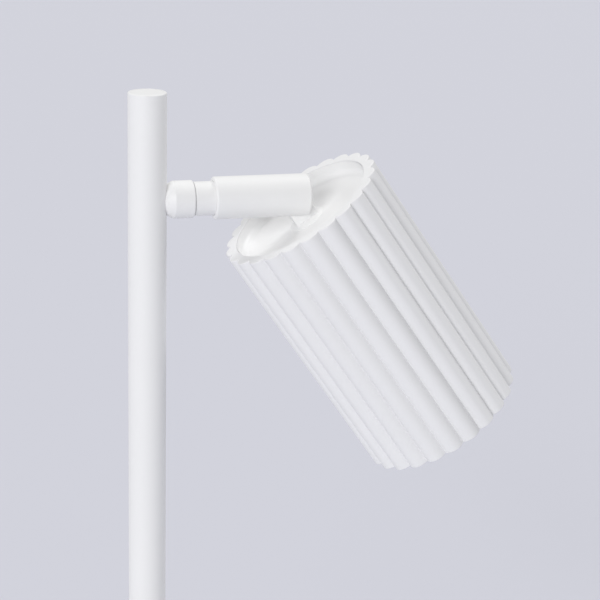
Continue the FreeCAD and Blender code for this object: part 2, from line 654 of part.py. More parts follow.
def make_lamp_holder():
    """Bracket under the cap, its screws, and the ceramic lamp holder screwed to its crown."""
    foot_under = "bracket_tall - strip_thick"
    right = [
        ("bracket_half", "0"), ("bracket_half", foot_under), ("bracket_foot", foot_under),
        ("bracket_foot", "bracket_tall"), ("bracket_half - strip_thick", "bracket_tall"),
        ("bracket_half - strip_thick", "strip_thick"),
    ]
    left = [(f"-({across})", up) for across, up in reversed(right)]
    bracket = doc.addObject("PartDesign::Body", "HolderBracket")
    add(bracket, "BracketStrip", "XZ_Plane", lambda sketch: draw_outline(sketch, right + left),
        "strip_wide", both_ways=True)
    cut(bracket, "BracketLeadHole", "XY_Plane",
        lambda sketch: draw_circle(sketch, "0", "0", "bracket_lead_hole"), "bracket_tall * 3")
    for name, reach in (("BracketFootHoles", "bracket_screw"), ("BracketCrownHoles", "holder_screw")):
        cut(bracket, name, "XY_Plane",
            lambda sketch: draw_pair(sketch, reach, "screw_radius + screw_play"), "bracket_tall * 3")
    keep("holder_bracket", bracket)
    crown_under = "recess_floor + cap_thick + bracket_tall"
    bracket.Placement = head_placement(crown_under)

    foot_screws = []
    crown_screws = []
    for name, turn in (("Right", 0), ("Left", 180)):
        foot_screw = small_screw("FootScrew" + name, "strip_thick")
        below = "recess_floor + cap_thick + strip_thick + screw_head_tall"
        foot_screw.Placement = head_placement(below, "bracket_screw", turn)
        foot_screws.append(foot_screw)
        crown_screw = small_screw("CrownScrew" + name, "strip_thick")
        above = f"{crown_under} - strip_thick - screw_head_tall"
        crown_screw.Placement = head_placement(above, "holder_screw", turn, HEAD_FIRST_DOWN)
        crown_screws.append(crown_screw)
    group("bracket_screws", foot_screws)
    group("holder_screws", crown_screws)

    holder = keep("lamp_holder", turned("LampHolder", [
        ("0", "0"), ("holder_radius", "0"), ("holder_radius", "holder_tall - holder_bevel"),
        ("holder_radius - holder_bevel", "holder_tall"), ("0", "holder_tall"),
    ]))
    cut(holder, "HolderScrewHoles", "XY_Plane",
        lambda sketch: draw_pair(sketch, "holder_screw", "screw_radius"), "holder_tall * 3")
    cut(holder, "HolderContactHoles", "XY_Plane", draw_contact_holes, "lamp_pin_long", forward=True)
    holder.Placement = head_placement(f"{crown_under} + holder_tall")


def draw_contact_holes(sketch):
    """The two holes that the lamp's pins twist into, side by side across the tilt plane."""
    for side in ("", "-"):
        draw_circle(sketch, "0", side + "lamp_pin_reach", "lamp_pin_head + lamp_pin_play")


def make_lamp():
    """Reflector lamp: body, front glass and its two contact pins."""
    back = "recess_floor + cap_thick + bracket_tall + holder_tall + lamp_gap"
    body = keep("lamp_body", turned("LampBody", [
        ("0", "lens_thick + lens_inset"), ("lens_radius", "lens_thick + lens_inset"), ("lens_radius", "0"),
        ("lamp_front", "0"), ("lamp_front", "lamp_rim_tall"), ("lamp_brow", "lamp_brow_up"),
        ("lamp_hip", "lamp_hip_up"), ("lamp_back", "lamp_long - lamp_neck_tall"),
        ("lamp_back", "lamp_long"), ("0", "lamp_long"),
    ]))
    body.Placement = head_placement(f"{back} + lamp_long")
    lens = keep("lamp_lens", rod("LampLens", "lens_radius", "lens_thick"))
    lens.Placement = head_placement(f"{back} + lamp_long - lens_inset")
    pins = []
    for turn in (90, 270):
        pin = turned(f"LampPin{turn}", [
            ("0", "0"), ("lamp_pin_radius", "0"), ("lamp_pin_radius", "lamp_pin_long - lamp_pin_head_tall"),
            ("lamp_pin_head", "lamp_pin_long - lamp_pin_head_tall"), ("lamp_pin_head", "lamp_pin_long"),
            ("0", "lamp_pin_long"),
        ])
        pin.Placement = head_placement(back, "lamp_pin_reach", turn)
        pins.append(pin)
    group("lamp_pins", pins)


def make_baffle():
    """Anti-glare cone between the lamp's front and the shade's bore."""
    top = "baffle_skirt + baffle_rise"
    baffle = keep("front_baffle", turned("FrontBaffle", [
        ("cap_radius", "0"), ("cap_radius", "baffle_skirt"), ("baffle_inner + baffle_wall", top),
        ("baffle_inner", top), ("cap_radius - baffle_wall", "baffle_skirt - baffle_crease"),
        ("cap_radius - baffle_wall", "0"),
    ]))
    baffle.Placement = head_placement("shade_long - baffle_inset")


def make_shade():
    """Fluted shade: a ring of round ribs that meet in sharp valleys, a smooth bore, and the cap's ledge."""
    half = "180 / flutes"
    rib_centre = f"(shade_tip ^ 2 - shade_valley ^ 2) / (2 * shade_tip - 2 * shade_valley * cos({half}))"
    rib_angle = f"flute_turn + {half}"
    shade = doc.addObject("PartDesign::Body", "Shade")
    add(shade, "Core", "XY_Plane",
        lambda sketch: draw_circle(sketch, "0", "0", "(shade_valley + shade_bore) / 2"), "shade_long")
    rib = add(shade, "Rib", "XY_Plane", lambda sketch: draw_circle(
        sketch, f"({rib_centre}) * cos({rib_angle})", f"({rib_centre}) * sin({rib_angle})",
        f"shade_tip - ({rib_centre})"), "shade_long")
    ribs = shade.newObject("PartDesign::PolarPattern", "Ribs")
    ribs.Originals = [rib]
    ribs.Axis = (origin_part(shade, "Z_Axis"), [""])
    ribs.Angle = 360
    ribs.setExpression("Occurrences", bound("flutes"))
    shade.Tip = ribs
    doc.recompute()

    ledge_top = "shade_long - recess_floor - cap_thick"
    bores = (("LowerBore", "shade_bore", f"{ledge_top} - ledge_thick", "0"),
             ("LedgeBore", "ledge_bore", "shade_long", "0"),
             ("UpperBore", "shade_bore", "recess_floor + cap_thick", ledge_top))
    for name, radius, reach, start in bores:
        cut(shade, name, "XY_Plane", lambda sketch: draw_circle(sketch, "0", "0", radius), reach,
            forward=True, start=start)
    cut(shade, "LedgeScrewHoles", "XY_Plane",
        lambda sketch: draw_cap_screw_circles(sketch, "screw_radius + screw_play"), "shade_long",
        forward=True)
    shade.Placement = head_placement("shade_long")
    keep("shade_shell", shade)


def check_and_export():
    """Stops on any failed object or unsound shape, and otherwise writes one file per node."""
    doc.recompute()
    failed = [thing.Name for thing in doc.Objects if {"Invalid", "Error"} & set(thing.State)]
    if failed:
        raise ValueError(f"these objects failed: {failed}")
    for label, thing in nodes.items():
        if thing.Shape.isNull() or not thing.Shape.isValid():
            raise ValueError(f"{label} has no sound shape")
    os.makedirs(STEP_FOLDER, exist_ok=True)
    for label, thing in nodes.items():
        thing.Shape.exportStep(os.path.join(STEP_FOLDER, label + ".step"))
        box = thing.Shape.BoundBox
        print(f"{label}: {len(thing.Shape.Solids)} solid, {thing.Shape.Volume / 1000:.2f} cm3, "
              f"z {box.ZMin:.1f} to {box.ZMax:.1f}")


make_base()
make_foot_fastening()
make_pole()
make_arm_fastening()
make_swivel()
make_sleeve()
make_lug()
make_cap()
make_lamp_holder()
make_lamp()
make_baffle()
make_shade()
check_and_export()
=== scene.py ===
import json
import math

import bmesh
import bpy
from mathutils import Matrix, Vector


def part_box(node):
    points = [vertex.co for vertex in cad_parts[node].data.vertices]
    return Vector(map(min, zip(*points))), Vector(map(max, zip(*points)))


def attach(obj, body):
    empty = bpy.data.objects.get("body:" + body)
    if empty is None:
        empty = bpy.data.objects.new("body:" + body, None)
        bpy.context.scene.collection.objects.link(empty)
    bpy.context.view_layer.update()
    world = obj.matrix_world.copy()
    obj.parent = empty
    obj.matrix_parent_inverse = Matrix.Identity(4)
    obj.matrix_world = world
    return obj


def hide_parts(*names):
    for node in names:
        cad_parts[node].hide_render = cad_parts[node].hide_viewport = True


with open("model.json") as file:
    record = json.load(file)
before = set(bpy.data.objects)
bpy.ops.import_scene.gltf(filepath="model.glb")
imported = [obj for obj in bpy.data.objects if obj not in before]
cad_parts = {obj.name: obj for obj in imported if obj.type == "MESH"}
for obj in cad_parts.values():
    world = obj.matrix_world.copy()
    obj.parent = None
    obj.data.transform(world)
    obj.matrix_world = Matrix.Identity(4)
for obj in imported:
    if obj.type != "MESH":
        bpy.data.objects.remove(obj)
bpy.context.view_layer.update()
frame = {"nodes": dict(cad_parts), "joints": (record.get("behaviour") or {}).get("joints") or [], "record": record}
scene = bpy.context.scene

# ---------------------------------------------------------------- what the frame says
MM = 0.001
BODY_OF = {node: body for body, members in frame["record"]["behaviour"]["bodies"].items() for node in members}
SLOT_OF = {row["node"]: row["material_slot"] for row in frame["record"]["subparts"]}
PIVOT = Vector(next(joint["pos_m"] for joint in frame["joints"] if joint["name"] == "head_tilt"))


def axes(origin, z, x):
    """The place with that origin whose own Z and X point that way: it takes mm to the frame's metres."""
    z = Vector(z).normalized()
    y = z.cross(Vector(x)).normalized()
    turn = Matrix((y.cross(z), y, z)).transposed().to_4x4()
    return Matrix.Translation(origin) @ turn @ Matrix.Scale(MM, 4)


def centre(node):
    low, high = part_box(node)
    return (Vector(low) + Vector(high)) / 2


def local(node, place):
    """The node's vertices in the place's mm."""
    back = place.inverted()
    return [back @ vertex.co for vertex in frame["nodes"][node].data.vertices]


def extent(points):
    """Lowest and highest point along Z, then nearest and farthest from the Z axis."""
    heights = [point.z for point in points]
    radii = [point.xy.length for point in points]
    return min(heights), max(heights), min(radii), max(radii)


def middle(points):
    """The x and y halfway between the outermost points."""
    across, along = [point.x for point in points], [point.y for point in points]
    return (min(across) + max(across)) / 2, (min(along) + max(along)) / 2


def sizes(node, place):
    """The node's extent in the place's mm."""
    return extent(local(node, place))


def solids(node, place):
    """The node's separate solids, each as its points in the place's mm."""
    net = bmesh.new()
    net.from_mesh(frame["nodes"][node].data)
    bmesh.ops.remove_doubles(net, verts=net.verts, dist=1e-6)
    net.verts.ensure_lookup_table()
    back = place.inverted()
    left = set(range(len(net.verts)))
    found = []
    while left:
        waiting = [min(left)]
        left.discard(waiting[0])
        points = []
        while waiting:
            vertex = net.verts[waiting.pop()]
            points.append(back @ vertex.co)
            for edge in vertex.link_edges:
                other = edge.other_vert(vertex).index
                if other in left:
                    left.discard(other)
                    waiting.append(other)
        found.append(points)
    net.free()
    return found


UP = Vector((0, 0, 1))
POLE = axes((0, 0, 0), UP, (1, 0, 0))                  # Z up the pole's axis
ARM = axes((0, 0, PIVOT.z), (1, 0, 0), -UP)            # Z along the arm from the pole's axis, X down
PIN = axes(PIVOT, (0, 1, 0), (1, 0, 0))                # Z along the tilt pin
HEAD_UP = (centre("head_cap") - centre("shade_shell")).normalized()
HEAD_X = Vector((0, 1, 0)).cross(HEAD_UP)
middle_of_shade = axes(centre("shade_shell"), HEAD_UP, HEAD_X)
HEAD = axes(middle_of_shade @ Vector((0, 0, sizes("shade_shell", middle_of_shade)[1])), HEAD_UP, HEAD_X)
# HEAD: Z from the middle of the shade's upper rim, away from its mouth

# ---------------------------------------------------------------- view and light
LENS_MM = 110.4
SENSOR_MM = 36.0
CAMERA_FROM_ARM = Vector((-0.1495, -0.8134, 0.2070))   # from the point where the arm axis meets the pole
CAMERA_YAW, CAMERA_PITCH, CAMERA_ROLL = 15.38, 17.07, 1.47   # degrees: to the right, down, own axis
CAMERA_NEAR, CAMERA_FAR = 0.01, 60.0
# a name, degrees to the right of the front (-Y), degrees above the floor, strength, softness in degrees
LIGHTS = (("key", -40, 20, 1.44, 30), ("back_left", -160, 50, 0.52, 30), ("back_right", 120, 50, 1.12, 14))
WORLD_STRENGTH = 0.475
FLOOR_HALF = 20        # metres from the middle to each side
FLOOR_COLOUR = (0.614, 0.620, 0.686)


def make_camera():
    """A long lens in front of the arm, to the left of it and above it, looking down."""
    data = bpy.data.cameras.new("camera")
    data.lens = LENS_MM
    data.sensor_width = SENSOR_MM
    data.clip_start, data.clip_end = CAMERA_NEAR, CAMERA_FAR
    camera = bpy.data.objects.new("camera", data)
    scene.collection.objects.link(camera)
    turn = Matrix.Rotation(math.radians(-CAMERA_YAW), 4, "Z")
    tip = Matrix.Rotation(math.radians(90 - CAMERA_PITCH), 4, "X")
    roll = Matrix.Rotation(math.radians(CAMERA_ROLL), 4, "Z")
    place = Matrix.Translation(Vector((0, 0, PIVOT.z)) + CAMERA_FROM_ARM)
    camera.matrix_world = place @ turn @ tip @ roll
    scene.camera = camera


def make_sun(name, around, up, strength, softness):
    """A distant light from the direction that LIGHTS states."""
    side, rise = math.radians(around), math.radians(up)
    towards = Vector((math.sin(side) * math.cos(rise), -math.cos(side) * math.cos(rise), math.sin(rise)))
    data = bpy.data.lights.new(name, "SUN")
    data.energy = strength
    data.angle = math.radians(softness)
    light = bpy.data.objects.new(name, data)
    light.rotation_mode = "QUATERNION"
    light.rotation_quaternion = (-towards).to_track_quat("-Z", "Y")
    scene.collection.objects.link(light)


def make_world():
    """Even white light from all round."""
    world = bpy.data.worlds.new("studio")
    world.use_nodes = True
    background = world.node_tree.nodes["Background"]
    background.inputs["Color"].default_value = (1, 1, 1, 1)
    background.inputs["Strength"].default_value = WORLD_STRENGTH
    scene.world = world


def make_floor():
    """A plain matte floor."""
    mesh = bpy.data.meshes.new("floor")
    corners = [(x * FLOOR_HALF, y * FLOOR_HALF, 0) for x, y in ((-1, -1), (1, -1), (1, 1), (-1, 1))]
    mesh.from_pydata(corners, [], [(0, 1, 2, 3)])
    floor = bpy.data.objects.new("floor", mesh)
    scene.collection.objects.link(floor)
    material = bpy.data.materials.new("floor")
    material.use_nodes = True
    shader = material.node_tree.nodes["Principled BSDF"]
    shader.inputs["Base Color"].default_value = (*FLOOR_COLOUR, 1)
    shader.inputs["Roughness"].default_value = 1.0
    mesh.materials.append(material)


make_camera()
for row in LIGHTS:
    make_sun(*row)
make_world()
make_floor()
scene.view_settings.view_transform = "Standard"


# ---------------------------------------------------------------- finishes
def make_finish(slot, colour, rough, tone, play, grain, pattern="NOISE", sockets=None):
    """A material whose colour, roughness and relief vary over the surface.

    tone is the colour's variation and its noise scale (per metre), play the same for the roughness,
    and grain the relief's noise scale, its height in metres and the bump's strength. pattern CELLS
    lays the tone out in cells."""
    material = bpy.data.materials.new(slot)
    material.use_nodes = True
    nodes, links = material.node_tree.nodes, material.node_tree.links
    shader = nodes["Principled BSDF"]
    place = nodes.new("ShaderNodeTexCoord").outputs["Object"]

    def noise(scale, detail):
        texture = nodes.new("ShaderNodeTexNoise")
        texture.inputs["Scale"].default_value = scale
        texture.inputs["Detail"].default_value = detail
        links.new(place, texture.inputs["Vector"])
        return texture.outputs["Fac"]

    def cells(scale):
        texture = nodes.new("ShaderNodeTexVoronoi")
        texture.inputs["Scale"].default_value = scale
        links.new(place, texture.inputs["Vector"])
        return texture.outputs["Distance"]

    amount, scale = tone
    ramp = nodes.new("ShaderNodeValToRGB")
    for element, position, factor in zip(ramp.color_ramp.elements, (0.3, 0.7), (1 - amount, 1 + amount)):
        element.position = position
        element.color = (*[min(1.0, value * factor) for value in colour], 1)
    links.new(cells(scale) if pattern == "CELLS" else noise(scale, 4), ramp.inputs["Fac"])
    links.new(ramp.outputs["Color"], shader.inputs["Base Color"])

    amount, scale = play
    spread = nodes.new("ShaderNodeMapRange")
    ends = {"From Min": 0.3, "From Max": 0.7, "To Min": rough - amount, "To Max": rough + amount}
    for socket, value in ends.items():
        spread.inputs[socket].default_value = value
    links.new(noise(scale, 3), spread.inputs["Value"])
    links.new(spread.outputs["Result"], shader.inputs["Roughness"])

    scale, height, strength = grain
    bump = nodes.new("ShaderNodeBump")
    bump.inputs["Strength"].default_value = strength
    bump.inputs["Distance"].default_value = height
    links.new(noise(scale, 2), bump.inputs["Height"])
    links.new(bump.outputs["Normal"], shader.inputs["Normal"])
    for socket, value in (sockets or {}).items():
        shader.inputs[socket].default_value = value
    return material


# each slot's colour, roughness, tone, play and grain, and where needed its pattern and other sockets
LOOKS = {
    "painted_steel": ((0.86, 0.86, 0.86), 0.48, (0.008, 30), (0.04, 150), (1100, 3e-5, 0.35)),
    "shade_plastic": ((0.83, 0.83, 0.835), 0.52, (0.008, 22), (0.04, 90), (2200, 2e-5, 0.3)),
    "plated_steel": ((0.66, 0.66, 0.64), 0.32, (0.07, 260), (0.08, 350), (1500, 1e-5, 0.3), "CELLS",
                     {"Metallic": 1.0}),
    "brass": ((0.78, 0.62, 0.34), 0.26, (0.05, 150), (0.06, 500), (2500, 1e-5, 0.25), "NOISE",
              {"Metallic": 1.0}),
    "pad_rubber": ((0.085, 0.085, 0.088), 0.82, (0.12, 60), (0.06, 200), (1800, 6e-5, 0.6)),
    "gland_rubber": ((0.78, 0.78, 0.77), 0.7, (0.03, 90), (0.05, 200), (1800, 4e-5, 0.5)),
    "nylon": ((0.84, 0.83, 0.78), 0.42, (0.02, 120), (0.04, 200), (1400, 2e-5, 0.3), "NOISE",
              {"Subsurface Weight": 0.25, "Subsurface Scale": 0.001}),
    "holder_ceramic": ((0.84, 0.82, 0.77), 0.78, (0.05, 700), (0.05, 300), (1600, 5e-5, 0.6), "CELLS"),
    "lamp_plastic": ((0.86, 0.86, 0.85), 0.2, (0.01, 40), (0.03, 120), (500, 2e-5, 0.2), "NOISE",
                     {"Coat Weight": 0.4, "Coat Roughness": 0.08}),
    "lamp_glass": ((0.93, 0.94, 0.95), 0.36, (0.01, 200), (0.05, 400), (1800, 2e-5, 0.35), "NOISE",
                   {"Transmission Weight": 0.55, "IOR": 1.49}),
}
FINISH = {name: make_finish(name, *look) for name, look in LOOKS.items()}


# ---------------------------------------------------------------- shapes, in a place's mm
def rounded(corners, closed=True):
    """A line through (across, up) corners, with a true arc wherever a corner also has a rounding."""
    line = []
    for index, corner in enumerate(corners):
        here = Vector(corner[:2])
        at_end = not closed and index in (0, len(corners) - 1)
        if len(corner) < 3 or at_end:
            line.append((here.x, here.y))
            continue
        back = Vector(corners[index - 1][:2]) - here
        ahead = Vector(corners[(index + 1) % len(corners)][:2]) - here
        half = back.angle(ahead) / 2
        radius = min(corner[2], 0.49 * min(back.length, ahead.length) * math.tan(half))
        back.normalize()
        ahead.normalize()
        middle = here + (back + ahead).normalized() * radius / math.sin(half)
        first = here + back * radius / math.tan(half) - middle
        last = here + ahead * radius / math.tan(half) - middle
        sweep = math.pi - 2 * half
        steps = max(2, math.ceil(math.degrees(sweep) / 15))
        for step in range(steps + 1):
            share = step / steps
            spoke = (first * math.sin((1 - share) * sweep) + last * math.sin(share * sweep)) / math.sin(sweep)
            line.append((middle.x + spoke.x, middle.y + spoke.y))
    return line


def spun(rows, columns=96, shape=None, start=0.0):
    """A turned shape from rows of (radius, height) or (radius, height, mark), the last joined to the first.

    shape gives the real radius and height of a point from (radius, height, angle, mark)."""
    points, rings, faces = [], [], []
    for row in rows:
        radius, height = row[:2]
        if radius < 1e-9:
            rings.append([len(points)] * columns)
            points.append(Vector((0, 0, height)))
            continue
        rings.append(range(len(points), len(points) + columns))
        for column in range(columns):
            angle = start + math.tau * column / columns
            real, lift = radius, height
            if shape and len(row) > 2:
                real, lift = shape(radius, height, angle, row[2])
            points.append(Vector((real * math.cos(angle), real * math.sin(angle), lift)))
    for ring, other in zip(rings, rings[1:] + rings[:1]):
        for column in range(columns):
            following = (column + 1) % columns
            face = (ring[column], ring[following], other[following], other[column])
            face = list(dict.fromkeys(face))
            if len(face) > 2:
                faces.append(face)
    return points, faces


def stacked(rings):
    """A shape through rings of equally many points, its first and last ring filled in."""
    count = len(rings[0])
    points = [Vector(point) for ring in rings for point in ring]
    faces = [list(range(count)), list(range(len(points) - count, len(points)))]
    for level in range(len(rings) - 1):
        base = level * count
        for index in range(count):
            following = (index + 1) % count
            faces.append([base + index, base + following, base + count + following, base + count + index])
    return points, faces


def inset(outline, amount):
    """The closed outline of (x, z) points moved inwards by that much."""
    area = sum(a[0] * b[1] - b[0] * a[1] for a, b in zip(outline, outline[1:] + outline[:1]))
    side = amount if area > 0 else -amount
    line = []
    for index, here in enumerate(outline):
        before, after = outline[index - 1], outline[(index + 1) % len(outline)]
        first = Vector((before[1] - here[1], here[0] - before[0])).normalized()
        second = Vector((here[1] - after[1], after[0] - here[0])).normalized()
        shift = (first + second) * side / (1 + first.dot(second))
        line.append((here[0] + shift.x, here[1] + shift.y))
    return line


def slab(outline, stations):
    """An outline in the (x, z) plane carried along Y through (y, inset) stations."""
    return stacked([[(x, y, z) for x, z in inset(outline, amount)] for y, amount in stations])


def block(low, high):
    """A box between two opposite corners."""
    corners = [(low[0], low[2]), (high[0], low[2]), (high[0], high[2]), (low[0], high[2])]
    return slab(corners, [(low[1], 0), (high[1], 0)])


def rod(radius, low, high, columns=48):
    """A plain cylinder along Z."""
    return spun([(0, low), (radius, low), (radius, high), (0, high)], columns)


def moved(part, shift, turn=Matrix.Identity(4)):
    points, faces = part
    place = Matrix.Translation(shift) @ turn
    return [place @ point for point in points], faces


def merged(parts):
    points, faces = [], []
    for some_points, some_faces in parts:
        first = len(points)
        points += some_points
        faces += [[first + index for index in face] for face in some_faces]
    return points, faces


def build(name, part, place):
    """An object whose mesh lies where the place puts the part."""
    points, faces = part
    mesh = bpy.data.meshes.new(name)
    mesh.from_pydata([place @ point for point in points], [], faces)
    net = bmesh.new()
    net.from_mesh(mesh)
    bmesh.ops.recalc_face_normals(net, faces=net.faces)
    net.to_mesh(mesh)
    net.free()
    piece = bpy.data.objects.new(name, mesh)
    scene.collection.objects.link(piece)
    return piece


def carve(piece, part, place, operation="DIFFERENCE"):
    """Cuts the part out of the piece's mesh, or joins it on with UNION."""
    tool = build("tool", part, place)
    step = piece.modifiers.new("carve", "BOOLEAN")
    step.operation = operation
    step.solver = "EXACT"
    step.object = tool
    depsgraph = bpy.context.evaluated_depsgraph_get()
    result = bpy.data.meshes.new_from_object(piece.evaluated_get(depsgraph))
    piece.modifiers.clear()
    old, piece.data = piece.data, result
    bpy.data.meshes.remove(old)
    bpy.data.objects.remove(tool, do_unlink=True)


def part_of(piece, place):
    """The piece's points and faces in the place's mm; the piece itself goes."""
    back = place.inverted()
    points = [back @ vertex.co for vertex in piece.data.vertices]
    faces = [list(face.vertices) for face in piece.data.polygons]
    bpy.data.objects.remove(piece, do_unlink=True)
    return points, faces


def stand_for(node, piece, sharp=32):
    """Gives the piece the node's finish and body, and lets it stand for the node."""
    mesh = piece.data
    mesh.materials.clear()
    mesh.materials.append(FINISH[SLOT_OF[node]])
    mesh.shade_smooth()
    mesh.set_sharp_from_angle(angle=math.radians(sharp))
    weighted = piece.modifiers.new("normals", "WEIGHTED_NORMAL")
    weighted.keep_sharp = True
    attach(piece, BODY_OF[node])
    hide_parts(node)


def finished(node, part, place, sharp=32):
    stand_for(node, build(node + "_look", part, place), sharp)


# ---------------------------------------------------------------- fasteners
THREAD_STEPS = 6       # rows for each turn of a thread
PITCH = 1.0            # of every thread but the small screws'
CUT_DEPTH = 0.6        # of the threads of studs, nuts and inserts
SHANK_DEPTH = 0.55     # of the threads on the neck's nose and the lug's shank
TUBE_BEVEL = 0.5
NUT_BEVEL = 0.4


def thread_rows(radius, low, high, pitch=PITCH):
    """Rows of a thread from one height to the other; it runs out within a turn of both."""
    count = max(2, round(abs(high - low) / pitch * THREAD_STEPS))
    rows = []
    for index in range(count + 1):
        share = min(1.0, min(index, count - index) / THREAD_STEPS)
        rows.append((radius, low + (high - low) * index / count, share))
    return rows


def threads(pitch, depth):
    """The shape function of rows whose mark is the share of a thread's full depth."""
    def shape(radius, height, angle, share):
        wave = abs(2 * ((height / pitch - angle / math.tau) % 1) - 1)
        return radius - share * depth * wave, height
    return shape


def threaded_stud(node, place):
    """A hollow stud with a thread outside."""
    low, high, inner, outer = sizes(node, place)
    rows = [(inner, high), (inner, low), (outer - TUBE_BEVEL, low)]
    rows += thread_rows(outer, low + TUBE_BEVEL, high - TUBE_BEVEL) + [(outer - TUBE_BEVEL, high)]
    finished(node, spun(rows, 64, threads(PITCH, CUT_DEPTH)), place)


def threaded_insert(node, place):
    """A tube with a thread inside and a knurl outside."""
    low, high, inner, outer = sizes(node, place)
    knurls, knurl_depth, bevel = 48, 0.35, TUBE_BEVEL
    cut = threads(PITCH, CUT_DEPTH)

    def shape(radius, height, angle, mark):
        if mark == "knurl":
            return radius - knurl_depth * (1 - abs(math.cos(knurls * angle / 2))), height
        return cut(radius, height, angle, mark)
    rows = thread_rows(inner, high - bevel, low + bevel)
    rows += [(inner + bevel, low), (outer - bevel, low), (outer, low + bevel),
             (outer, low + 3 * bevel, "knurl"), (outer, high - 3 * bevel, "knurl"),
             (outer, high - bevel), (outer - bevel, high), (inner + bevel, high)]
    finished(node, spun(rows, knurls * 4, shape), place)


def nut(node, place):
    """A hexagon nut with its corners turned off at both ends and a thread inside."""
    low, high, inner, corner = sizes(node, place)
    flat = corner * math.cos(math.radians(30))
    face = 0.96 * flat
    slope = math.tan(math.radians(60))
    farthest = max(local(node, place), key=lambda point: point.xy.length)
    phase = math.atan2(farthest.y, farthest.x) % (math.pi / 3)
    cut = threads(PITCH, CUT_DEPTH)

    def shape(radius, height, angle, mark):
        if mark != "hexagon":
            return cut(radius, height, angle, mark)
        away = (angle - phase) % (math.pi / 3) - math.pi / 6
        return min(flat / math.cos(away), face + slope * min(height - low, high - height)), height
    turned_off = (corner - face) / slope
    levels = [turned_off * share for share in (0, 0.15, 0.3, 0.5, 0.75, 1)]
    rows = thread_rows(inner, high - NUT_BEVEL, low + NUT_BEVEL) + [(inner + NUT_BEVEL, low)]
    rows += [(corner, low + level, "hexagon") for level in levels]
    rows += [(corner, high - level, "hexagon") for level in reversed(levels)] + [(inner + NUT_BEVEL, high)]
    finished(node, spun(rows, 72, shape, phase), place)


def washer(node, place, edge=0.25):
    low, high, inner, outer = sizes(node, place)
    finished(node, spun(rounded([(inner, low), (outer, low), (outer, high, edge), (inner, high, edge)])), place)


def star(reach, half, height):
    """The outline of a cross with four arms of that reach and half width."""
    corners = []
    for quarter in range(4):
        turn = Matrix.Rotation(math.radians(90 * quarter), 2)
        corners += [turn @ Vector(corner) for corner in ((reach, -half), (reach, half), (half, half))]
    return [(corner.x, corner.y, height) for corner in corners]


SCREW_PITCH, SCREW_DEPTH = 0.5, 0.3
SCREW_HEAD_TALL = 1.8
SCREW_BORE, SCREW_HOLE = 1.5, 1.6    # radius of the holes that a screw bites in, and of those it passes through
CROSS_RECESS = (1.5, 0.36, 1.2)      # reach, half width and depth of a screw's cross recess


def small_screw(length, head, shank, head_tall=SCREW_HEAD_TALL):
    """A pan-head screw from its head at height 0 to its tip."""
    rows = rounded([(0, 0), (0.45 * head, 0), (0.85 * head, 0.12 * head_tall, 1.6),
                    (head, 0.6 * head_tall, 0.5), (head, head_tall, 0.1), (shank, head_tall)], closed=False)
    rows += thread_rows(shank, head_tall + 0.1, length - 0.4, SCREW_PITCH)
    rows += [(0.7 * shank, length), (0, length)]
    screw = build("screw", spun(rows, 48, threads(SCREW_PITCH, SCREW_DEPTH)), POLE)
    reach, half, deep = CROSS_RECESS
    carve(screw, stacked([star(reach, half, -0.3), star(0.55 * reach, 0.6 * half, deep)]), POLE)
    return part_of(screw, POLE)


def screws(node):
    """The node's screws, each where its solid is and with its head at the same end."""
    copies = []
    for points in solids(node, HEAD):
        low, high = extent(points)[:2]
        x, y = middle(points)

        def widest(level):
            near = [point for point in points if abs(point.z - level) < 2]
            return max((point.xy - Vector((x, y))).length for point in near)
        head_low = widest(low) > widest(high)
        shank, head = sorted((widest(low), widest(high)))
        screw = small_screw(high - low, head, shank)
        turn = Matrix.Rotation(math.atan2(y, x) + 0.6 * len(copies), 4, "Z")
        if not head_low:
            turn = turn @ Matrix.Rotation(math.pi, 4, "X")
        copies.append(moved(screw, (x, y, low if head_low else high), turn))
    finished(node, merged(copies), HEAD)


def screw_holes(node, radius, low, high):
    """A round hole for each of the node's screws."""
    return [moved(rod(radius, low, high, 32), (*middle(points), 0)) for points in solids(node, HEAD)]


# ---------------------------------------------------------------- the stand
NUT_RECESS, NUT_RECESS_DEEP = 18.0, 7.0        # under the base
GROOVE_HALF, GROOVE_DEEP = 5.0, 7.5            # the cord's groove under the base
BASE_BEVEL, BASE_ROUND = 0.8, 1.6              # its lower and upper edge
PAD_RIB, PAD_GROOVE, PAD_FIRST = 3.0, 0.5, 1.5
GLAND_EDGE, GLAND_RIBS = 0.8, (3.0, 5.0, 7.0, 9.0)
CORD_BORE = 2.75


